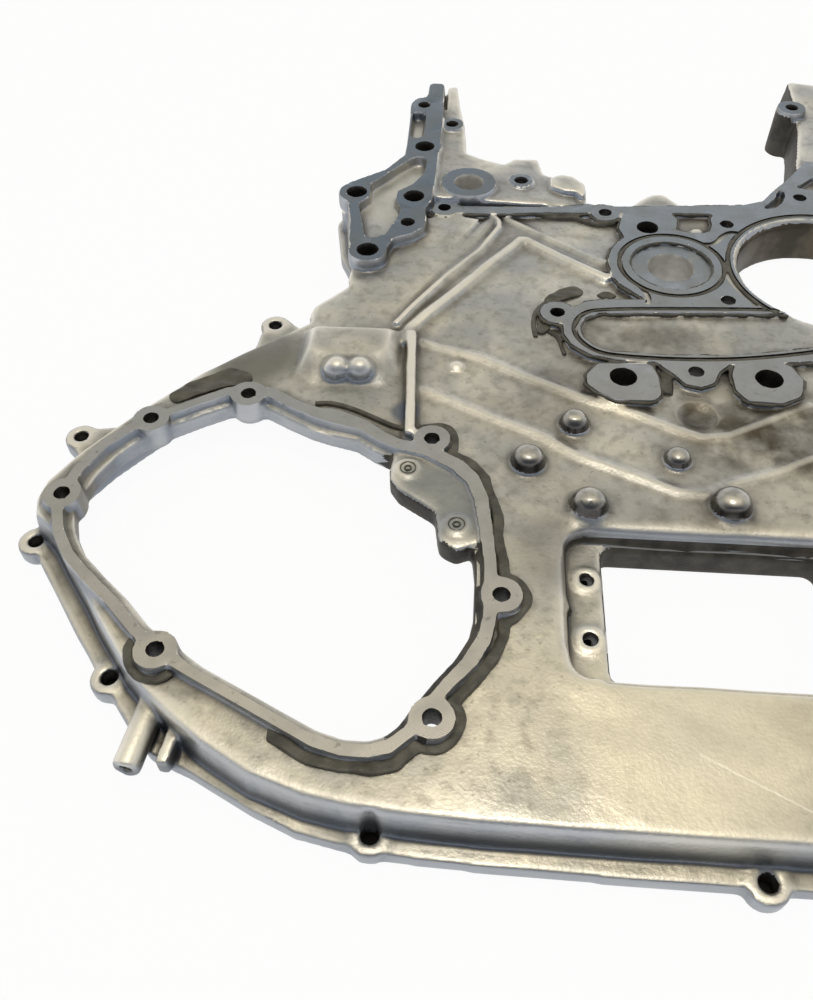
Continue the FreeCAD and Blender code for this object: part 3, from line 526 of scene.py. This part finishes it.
def ribbonBody(points, width, low, high, closed, taper=1.0):
    # a closed bar along a line in plan, in mm, drawn in at the top by taper
    count = len(points)
    rows = []
    for i in range(count):
        before = points[(i - 1) % count] if closed else points[max(i - 1, 0)]
        after = points[(i + 1) % count] if closed else points[min(i + 1, count - 1)]
        way = np.array(after, float) - np.array(before, float)
        way /= np.linalg.norm(way)
        side = np.array((-way[1], way[0])) * width / 2
        here = np.array(points[i], float)
        section = ((1, 1, low), (-1, 1, low), (-1, taper, high), (1, taper, high))
        rows.append([(*(here + side * k * t), z) for k, t, z in section])
    corners = [tuple(v * mm for v in corner) for row in rows for corner in row]
    faces = []
    for i in range(count if closed else count - 1):
        j = (i + 1) % count
        for k in range(4):
            m = (k + 1) % 4
            faces.append((i * 4 + k, i * 4 + m, j * 4 + m, j * 4 + k))
    if not closed:
        faces += [(3, 2, 1, 0), tuple((count - 1) * 4 + k for k in range(4))]
    mesh = bpy.data.meshes.new("bar")
    mesh.from_pydata(corners, [], faces)
    shape = bmesh.new()
    shape.from_mesh(mesh)
    bmesh.ops.recalc_face_normals(shape, faces=shape.faces)
    shape.to_mesh(mesh)
    shape.free()
    return mesh


def domeBody(x, y, radius, height):
    # a round stud with a fillet at its foot
    profile = (
        (1.2, -0.15), (1.16, 0.0), (1.04, 0.1), (1.02, 0.3), (0.98, 0.5), (0.9, 0.68), (0.74, 0.86),
        (0.5, 0.98), (0.25, 1.03),
    )
    turns = 40
    corners = []
    for across, up in profile:
        for px, py in circleLoop(x, y, radius * across, turns):
            corners.append((px * mm, py * mm, (plateTop + height * up) * mm))
    faces = [tuple(reversed(range(turns)))]
    for ring in range(len(profile) - 1):
        for i in range(turns):
            j = (i + 1) % turns
            faces.append((ring * turns + i, ring * turns + j, (ring + 1) * turns + j, (ring + 1) * turns + i))
    faces.append(tuple((len(profile) - 1) * turns + i for i in range(turns)))
    mesh = bpy.data.meshes.new("dome")
    mesh.from_pydata(corners, [], faces)
    return mesh


def channelRuns(maps, c):
    # the channels' middle lines, kept only where the cover has its faced level or its groove
    loops = [circleLoop(*ring) for ring in c["rings"]]
    loops.append(smoothLoop(offsetLoop(ovalRim, c["ovalOffset"]), True))
    runs = []
    for loop in loops:
        places = np.array(loop)
        kept = onMap(maps[c["level"]], places, 1) | onMap(maps[c["solidFloor"]], places, 1)
        if kept.all():
            runs.append((loop, True))
            continue
        first = int(np.argmin(kept))
        run = []
        for i in list(range(first, len(loop))) + list(range(first + 1)):
            if kept[i]:
                run.append(loop[i])
            elif run:
                if len(run) > 5:
                    runs.append((run, False))
                run = []
    print("channel runs", [(len(points), closed) for points, closed in runs])
    return runs


def distance(points, x, y):
    return np.hypot(points[:, 0] - x, points[:, 1] - y)


def inBox(points, x0, y0, x1, y1):
    return (points[:, 0] > x0) & (points[:, 0] < x1) & (points[:, 1] > y0) & (points[:, 1] < y1)


def onChannel(places, lines):
    hit = np.zeros(len(places), dtype=bool)
    for points, _ in lines:
        for x, y in points:
            hit |= distance(places, x, y) < channels["width"] / 2 + 1.2
    return hit


def cutChannels(obj, c, lines):
    for points, closed in lines:
        mesh = ribbonBody(points, c["width"], c["floor"], c["level"] + 1.5, closed)
        tool = bpy.data.objects.new("channelTool", mesh)
        bpy.context.scene.collection.objects.link(tool)
        cut = obj.modifiers.new("channel", "BOOLEAN")
        cut.operation = "DIFFERENCE"
        cut.solver = "MANIFOLD"
        cut.object = tool
        before = len(obj.data.polygons)
        plainMesh(obj)
        bpy.data.objects.remove(tool)
        print("channel cut", before, len(obj.data.polygons))


def millable(level, points, c):
    # every faced level but the ear's rounded top
    height, nearY = c["earTop"]
    return (level > height) | (points[:, 1] > nearY)


def faceArrays(mesh):
    # the middle in mm and the normal of each face
    values = []
    for name in ("center", "normal"):
        flat = np.empty(len(mesh.polygons) * 3)
        mesh.polygons.foreach_get(name, flat)
        values.append(flat.reshape(-1, 3))
    return values[0] / mm, values[1]


def roundOver(points, edges, faced, c):
    # the die's rounding, stronger where the dictionary says so
    amount = np.full((len(points), 3), c["softenShare"])
    amount[faced, 2] = 0
    points = soften(points, edges, amount, c["softenPasses"])
    for x, y, reach, passes in c["roundest"]:
        share = np.clip(2 - 2 * distance(points, x, y) / reach, 0, 1)
        free = (points[:, 2] > c["roundestAbove"]) & ~faced
        points = soften(points, edges, np.where(free, share, 0) * 0.7, passes)
    for *box, passes in c["roundedBoxes"]:
        inside = inBox(points, *box) & (points[:, 2] > c["roundedAbove"])
        points = soften(points, edges, inside * 0.7, passes)
    return points


def paintCasting(mesh, c, maps, lines):
    # gives each face its finish, by height, slope and place
    finishes = {
        "cast": castAluminium(castSkin),
        "milled": machinedAluminium(),
        "oilyShadedHole": plainMaterial("oilyShadedHoleWall", "#14110e", "#2a251e", 5, 0.5),
        "oilyShadedBore": plainMaterial("oilyShadedBoreWall", "#3e382d", "#5f574a", 14, 0.42, 0.4),
        "dome": domeMetal(),
        "boredLit": plainMaterial("boredLitAluminium", "#b9b7b2", "#d6d4ce", 9, 0.4, 0.35),
        "dirtyShaded": plainMaterial("dirtyShadedCastWall", "#2f2c27", "#4d4942", 9, 0.55, 0.25),
    }
    slot = {name: i for i, name in enumerate(finishes)}
    mesh.materials.clear()
    for material in finishes.values():
        mesh.materials.append(material)
    places, facing = faceArrays(mesh)
    height, level = places[:, 2], np.abs(facing[:, 2])
    steep = level < 0.75
    kind = np.full(len(places), slot["cast"], dtype=np.int32)
    for top in c["milledLevels"]:
        flat = (np.abs(height - top) < 0.06) & (facing[:, 2] > 0.985) & onMap(maps[top], places, 1)
        kind[flat & millable(top, places, c)] = slot["milled"]
    # painted shade with oil: steep walls in these boxes painted dark
    for *box, top, limit in darkWalls:
        kind[inBox(places, *box) & (level < limit) & (height < top)] = slot["dirtyShaded"]
    *box, top, limit = innerWall
    inner = inBox(places, *box) & (level < limit) & (height < top)
    kind[inner & (facing[:, 0] < -0.2)] = slot["dirtyShaded"]
    for x, y, _ in wellScrews:
        kind[(distance(places, x, y) < 9) & (height > 13) & (height < 17)] = slot["cast"]
    # hole walls painted near black: painted shade inside the holes, with old oil
    for x, y, radius in oilyShadedHoles:
        # the flange holes' mouths are rounded and stay bright
        top, spare = (8.0, 0.2) if radius == flangeHole else (40, 0.7)
        inside = steep & (distance(places, x, y) < radius + spare)
        kind[inside & (height > 1) & (height < top)] = slot["oilyShadedHole"]
    # painted light: the walls of these bores are painted pale
    for x, y, radius in brightBores:
        kind[steep & (distance(places, x, y) < radius + 0.8)] = slot["boredLit"]
    # the main bore's wall is painted dark brown: painted shade inside the bore, with old oil
    x, y, radius = mainBore
    kind[steep & (np.abs(distance(places, x, y) - radius) < 1.6) & (height < 25)] = slot["oilyShadedBore"]
    # painted shade: the channels' walls just under the faced level are painted near black
    kind[steep & (np.abs(height - 26.4) < 0.55) & onChannel(places, lines)] = slot["oilyShadedHole"]
    for x, y, radius, _ in domes[:-1]:
        kind[(distance(places, x, y) < radius * 1.04) & (height > plateTop + 0.8)] = slot["dome"]
    mesh.polygons.foreach_set("material_index", kind)


def makeCasting(c):
    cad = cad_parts["timing_cover"].data
    maps = {level: levelMap(cad, level) for level in c["facedLevels"]}
    runs = channelRuns(maps, channels)
    lines = runs + [(smoothLoop(tail, False, 2), False) for tail in channels["tails"]]
    # the solid's own grooves are filled, and cut again after the rounding
    low = channels["floor"] - 0.5
    wide, high = channels["fillWidth"], channels["level"]
    fill = [ribbonBody(points, wide, low, high, closed) for points, closed in runs]
    fill += [domeBody(*dome) for dome in domes]
    skin = voxelCopy("castingSkin", "timing_cover", c["voxel"], fill)
    print("skin remade", len(skin.data.vertices))
    start, edges = meshArrays(skin.data)
    faced = np.zeros(len(start), dtype=bool)
    for level, mapping in maps.items():
        near = onMap(mapping, start, 2) & (np.abs(start[:, 2] - level) < 1.0)
        faced |= near & millable(level, start, c)
    points = roundOver(start, edges, faced, c)
    # how far each point lies under its surroundings, for grime and painted shade in hollows and for wear and
    # painted highlight on edges
    broad = soften(points, edges, np.full(len(points), 0.9), 24)
    normals = np.empty(len(points) * 3)
    skin.data.vertices.foreach_get("normal", normals)
    normals = normals.reshape(-1, 3)
    hollow = ((broad - points) * normals).sum(axis=1)
    waves = ripples(points, c["ripple"], c["rippleLength"]) * (normals[:, 2] > 0.4)
    points[:, 2] += np.where(faced, 0, waves)
    for level, mapping in maps.items():
        touch = onMap(mapping, start) & (np.abs(start[:, 2] - level) < 0.55) & millable(level, start, c)
        points[touch, 2] = level
    skin.data.vertices.foreach_set("co", (points * mm).ravel())
    layer = skin.data.attributes.new("hollow", "FLOAT", "POINT")
    layer.data.foreach_set("value", hollow)
    skin.data.update()
    thin = skin.modifiers.new("thin", "DECIMATE")
    thin.ratio = min(1.0, c["triangles"] / (2 * len(skin.data.polygons)))
    thin.use_collapse_triangulate = True
    plainMesh(skin)
    cutChannels(skin, channels, lines)
    mesh = skin.data
    print("skin thinned", len(mesh.polygons))
    paintCasting(mesh, c, maps, lines)
    mesh.polygons.foreach_set("use_smooth", np.ones(len(mesh.polygons), dtype=bool))
    mesh.set_sharp_from_angle(angle=math.radians(c["sharpAngle"]))
    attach(skin, "root")
    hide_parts("timing_cover")


# cured sealant: the frame's solids, softened and pushed about a little
sealant = {
    "voxel": 0.55,
    "softenShare": 0.6,
    "passes": 9,
    "wobble": 0.35,  # mm up and down
    "wobbleLength": 9,
    "wander": 0.6,  # mm sideways
    "wanderLength": 16,
}


def makeSealant(s, rubber):
    for node in [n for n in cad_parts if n.startswith("sealant_")]:
        bead = voxelCopy(node + "_soft", node, s["voxel"])
        points, edges = meshArrays(bead.data)
        points = soften(points, edges, np.full(len(points), s["softenShare"]), s["passes"])
        low = points[:, 2].min()
        lift = ripples(points, s["wobble"], s["wobbleLength"]) * (points[:, 2] > low + 0.5)
        # other stretches of the same waves move it sideways
        points[:, 0] += ripples(points + 40, s["wander"], s["wanderLength"])
        points[:, 1] += ripples(points - 70, s["wander"], s["wanderLength"])
        points[:, 2] += np.clip(lift, -0.5, 0.5)
        bead.data.vertices.foreach_set("co", (points * mm).ravel())
        bead.data.update()
        bead.data.materials.clear()
        bead.data.materials.append(rubber)
        bead.data.polygons.foreach_set("use_smooth", np.ones(len(bead.data.polygons), dtype=bool))
        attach(bead, "root")
        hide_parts(node)
        print(node, len(bead.data.polygons))


# residue: thin dark lines of old sealant along the faced edges and strands beside them
residue = {
    "voxel": 0.5,
    "triangles": 90000,
    "softenShare": 0.6,
    "passes": 4,
    "reach": (-150, -112, 150, 62),  # plan box of the edges that carry it
    "depth": 2.0,
    "barLength": 4,
    "widths": (0.9, 1.9),
    "belowFace": (0.1, 0.5),
    # line, width, lowest and highest Z
    "strands": (
        (
            ((-145.0, 53.6), (-136.6, 43.3), (-126.4, 39.7), (-117.8, 43.3), (-112.0, 47.0), (-105.5, 47.5)),
            3.6, 22.8, 25.6,
        ),
        (
            (
                (-71.8, 49.2), (-64.9, 46.2), (-57.9, 46.0), (-50.1, 47.2), (-44.5, 43.2), (-36.2, 39.4),
                (-27.2, 42.1),
            ),
            3.0, 23, 25.6,
        ),
        (
            ((-58.5, -30.1), (-63.2, -28.7), (-69.3, -34.0), (-74.8, -40.9), (-76.5, -51.9), (-75.2, -63.2)),
            3.2, 23.2, 24.8,
        ),
        (((-68.9, -58.5), (-64.0, -62.2), (-62.2, -70.8), (-60.9, -76.2)), 2.6, 23.2, 24.8),
        (((-40.5, -27.6), (-36.9, -24.1), (-33.0, -27.9)), 6.0, 23.0, 24.6),
        (
            (
                (-181.4, -119.9), (-174.3, -118.7), (-164.3, -121.6), (-153.3, -127.1), (-141.8, -133.4),
                (-133.8, -134.5),
            ),
            3.4, 23.2, 25.0,
        ),
        (((-13.5, -88.3), (-12.0, -94.5), (-13.6, -103)), 7.0, 23.0, 25.4),
    ),
    # x, y, radius of the lines on the ear's two bosses
    "rings": ((-133.9, -160.4, 3.5), (-133.9, -160.4, 1.5), (-111.1, -191.5, 3.5), (-111.1, -191.5, 1.5)),
}


def seamBodies(cad, r):
    # short bars along the outer edges of the faced level
    shape = bmesh.new()
    shape.from_mesh(cad)
    bmesh.ops.remove_doubles(shape, verts=shape.verts, dist=1e-5)
    shape.normal_update()
    level = channels["level"]
    x0, y0, x1, y1 = r["reach"]
    rng = np.random.default_rng(3)
    bars = []
    for edge in shape.edges:
        if len(edge.link_faces) != 2:
            continue
        flat, wall = sorted(edge.link_faces, key=lambda face: -face.normal.z)
        a, b = (np.array(v.co) / mm for v in edge.verts)
        if flat.normal.z < 0.99 or abs(wall.normal.z) > 0.4:
            continue
        if max(abs(a[2] - level), abs(b[2] - level)) > 0.05:
            continue
        middle = (a + b)[:2] / 2
        if not (x0 < middle[0] < x1 and y0 < middle[1] < y1):
            continue
        if any(math.hypot(middle[0] - x, middle[1] - y) < radius + 0.8 for x, y, radius in oilyShadedHoles):
            continue
        out = np.array(wall.normal)[:2]
        out /= max(np.linalg.norm(out), 1e-9)
        steps = max(1, int(np.linalg.norm(b - a) / r["barLength"]))
        for i in range(steps):
            p = (a + (b - a) * (i / steps))[:2]
            q = (a + (b - a) * ((i + 1) / steps))[:2]
            way = (q - p) / max(np.linalg.norm(q - p), 1e-9) * 0.25
            width = rng.uniform(*r["widths"])
            shift = out * (width / 2 - 0.25)
            top = level - rng.uniform(*r["belowFace"])
            bars.append(ribbonBody([p - way + shift, q + way + shift], width, top - r["depth"], top, False))
    shape.free()
    return bars


def makeResidue(r, rubber):
    bars = seamBodies(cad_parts["timing_cover"].data, r)
    for points, width, low, high in r["strands"]:
        bars.append(ribbonBody(smoothLoop(points, False), width, low, high, False, 0.6))
    for x, y, radius in r["rings"]:
        bars.append(ribbonBody(circleLoop(x, y, radius, 24), 0.8, 25.0, 26.55, True))
    print("residue bars", len(bars))
    shape = bmesh.new()
    for bar in bars:
        shape.from_mesh(bar)
        bpy.data.meshes.remove(bar)
    mesh = bpy.data.meshes.new("edgeResidue")
    shape.to_mesh(mesh)
    shape.free()
    obj = bpy.data.objects.new("edgeResidue", mesh)
    bpy.context.scene.collection.objects.link(obj)
    remesh = obj.modifiers.new("skin", "REMESH")
    remesh.mode = "VOXEL"
    remesh.voxel_size = r["voxel"] * mm
    mesh = plainMesh(obj)
    points, edges = meshArrays(mesh)
    points = soften(points, edges, np.full(len(points), r["softenShare"]), r["passes"])
    mesh.vertices.foreach_set("co", (points * mm).ravel())
    mesh.update()
    thin = obj.modifiers.new("thin", "DECIMATE")
    thin.ratio = min(1.0, r["triangles"] / (2 * len(mesh.polygons)))
    thin.use_collapse_triangulate = True
    mesh = plainMesh(obj)
    mesh.materials.clear()
    mesh.materials.append(rubber)
    mesh.polygons.foreach_set("use_smooth", np.ones(len(mesh.polygons), dtype=bool))
    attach(obj, "root")
    print("residue", len(mesh.polygons))


# studio: white paper, a warm bright ceiling, cooler and darker behind the camera, one broad lamp
studio = {
    "floorRadius": 7.0,  # m
    "wallHeight": 2.6,
    "floorDrop": 0.0004,
    "paper": "#f2f2f2",
    "world": 1.4,
    # sine of the height above the horizon, colour
    "sky": (
        (0.0, "#b9bbbd"), (0.3, "#c6c7c7"), (0.5, "#ccccca"), (0.66, "#b4b3ac"), (0.8, "#c2beb1"),
        (0.9, "#e0dacb"), (1.0, "#f4eede"),
    ),
    "nearSky": "#5a6473",
    "keyPower": 3.2,
    "keyPlace": (-0.1, -0.2, 1.6),
    "keySize": 0.4,
    "keyColour": "#fff8ec",
}


def makeUnderShade(s):
    # dark spots on the floor below the drilled holes, which look black from above
    corners, faces = [], []
    turns = 20
    for x, y, radius in oilyShadedHoles:
        if radius == rimHole:
            continue
        # moved on along the photo's line of sight, further below the well's high ledges
        depth = 12.5 if (x, y, radius) in wellScrews else 3
        push = depth / (camera["place"][2] - depth)
        x += (x - camera["place"][0]) * push
        y += (y - camera["place"][1]) * push
        start = len(corners)
        ring = circleLoop(x, y, radius + 1.0, turns)
        corners += [(px * mm, py * mm, -s["floorDrop"] / 2) for px, py in ring]
        faces.append(tuple(range(start, start + turns)))
    mesh = bpy.data.meshes.new("underShade")
    mesh.from_pydata(corners, [], faces)
    mesh.materials.append(plainMaterial("underShade", "#0d0b09", "#1a1713", 5, 0.9))
    shade = bpy.data.objects.new("underShade", mesh)
    bpy.context.scene.collection.objects.link(shade)


def makeSky(s):
    world = bpy.data.worlds.new("studioWorld")
    bpy.context.scene.world = world
    world.use_nodes = True
    tree = world.node_tree
    tree.nodes.clear()
    parts = separated(tree, addNode(tree, "ShaderNodeTexCoord").outputs["Generated"])
    ramp = addNode(tree, "ShaderNodeValToRGB", links={"Fac": parts["Z"]})
    stops = ramp.color_ramp.elements
    while len(stops) < len(s["sky"]):
        stops.new(0.5)
    for stop, (height, colour) in zip(stops, s["sky"]):
        stop.position = height
        stop.color = linear(colour)
    behind = times(tree, ranged(tree, parts["Y"], -0.1, -0.7), 0.9)
    sky = blend(tree, behind, ramp.outputs["Color"], s["nearSky"])
    plain = addNode(tree, "ShaderNodeBackground", {"Strength": s["world"]}, {"Color": sky})
    output = addNode(tree, "ShaderNodeOutputWorld")
    tree.links.new(plain.outputs[0], output.inputs["Surface"])


def makePaper(s):
    # a round floor with a low wall of the same paper round it
    turns = 64
    ring = circleLoop(0, 0, s["floorRadius"] / mm, turns)
    mesh = bpy.data.meshes.new("floor")
    corners = [(x * mm, y * mm, z) for z in (-s["floorDrop"], s["wallHeight"]) for x, y in ring]
    sides = [(i, turns + i, turns + (i + 1) % turns, (i + 1) % turns) for i in range(turns)]
    mesh.from_pydata(corners, [], [tuple(range(turns))] + sides)
    floor = bpy.data.objects.new("floor", mesh)
    bpy.context.scene.collection.objects.link(floor)
    # the paper shows almost white, to the camera and in the metal, and keeps a faint shadow
    material, tree, _ = startMaterial("paperSweep")
    paper = addNode(tree, "ShaderNodeBsdfDiffuse", {"Color": linear(s["paper"])})
    glow = addNode(tree, "ShaderNodeEmission", {"Color": (1, 1, 1, 1), "Strength": 1.0})
    ray = addNode(tree, "ShaderNodeLightPath")
    seen = times(tree, ray.outputs["Is Camera Ray"], ray.outputs["Is Glossy Ray"], "MAXIMUM")
    seen = times(tree, seen, ray.outputs["Is Transmission Ray"], "MAXIMUM")
    share = times(tree, seen, 0.95)
    mixed = addNode(tree, "ShaderNodeMixShader", None, {0: share, 1: paper.outputs[0], 2: glow.outputs[0]})
    finishMaterial(tree, mixed)
    mesh.materials.append(material)


def makeLamp(s):
    lamp = bpy.data.lights.new("keyLamp", "AREA")
    lamp.energy = s["keyPower"]
    lamp.size = s["keySize"]
    lamp.color = linear(s["keyColour"])[:3]
    key = bpy.data.objects.new("keyLamp", lamp)
    key.location = s["keyPlace"]
    key.rotation_euler = (-key.location).to_track_quat("-Z", "Y").to_euler()
    bpy.context.scene.collection.objects.link(key)


makeCamera(camera)
makeCasting(casting)
rubber = plainMaterial("curedSealant", "#3a372e", "#57544a", 8, 0.42)
makeSealant(sealant, rubber)
makeResidue(residue, rubber)
makeSky(studio)
makePaper(studio)
makeUnderShade(studio)
makeLamp(studio)
bpy.context.scene.view_settings.view_transform = "Standard"
print("scene built")
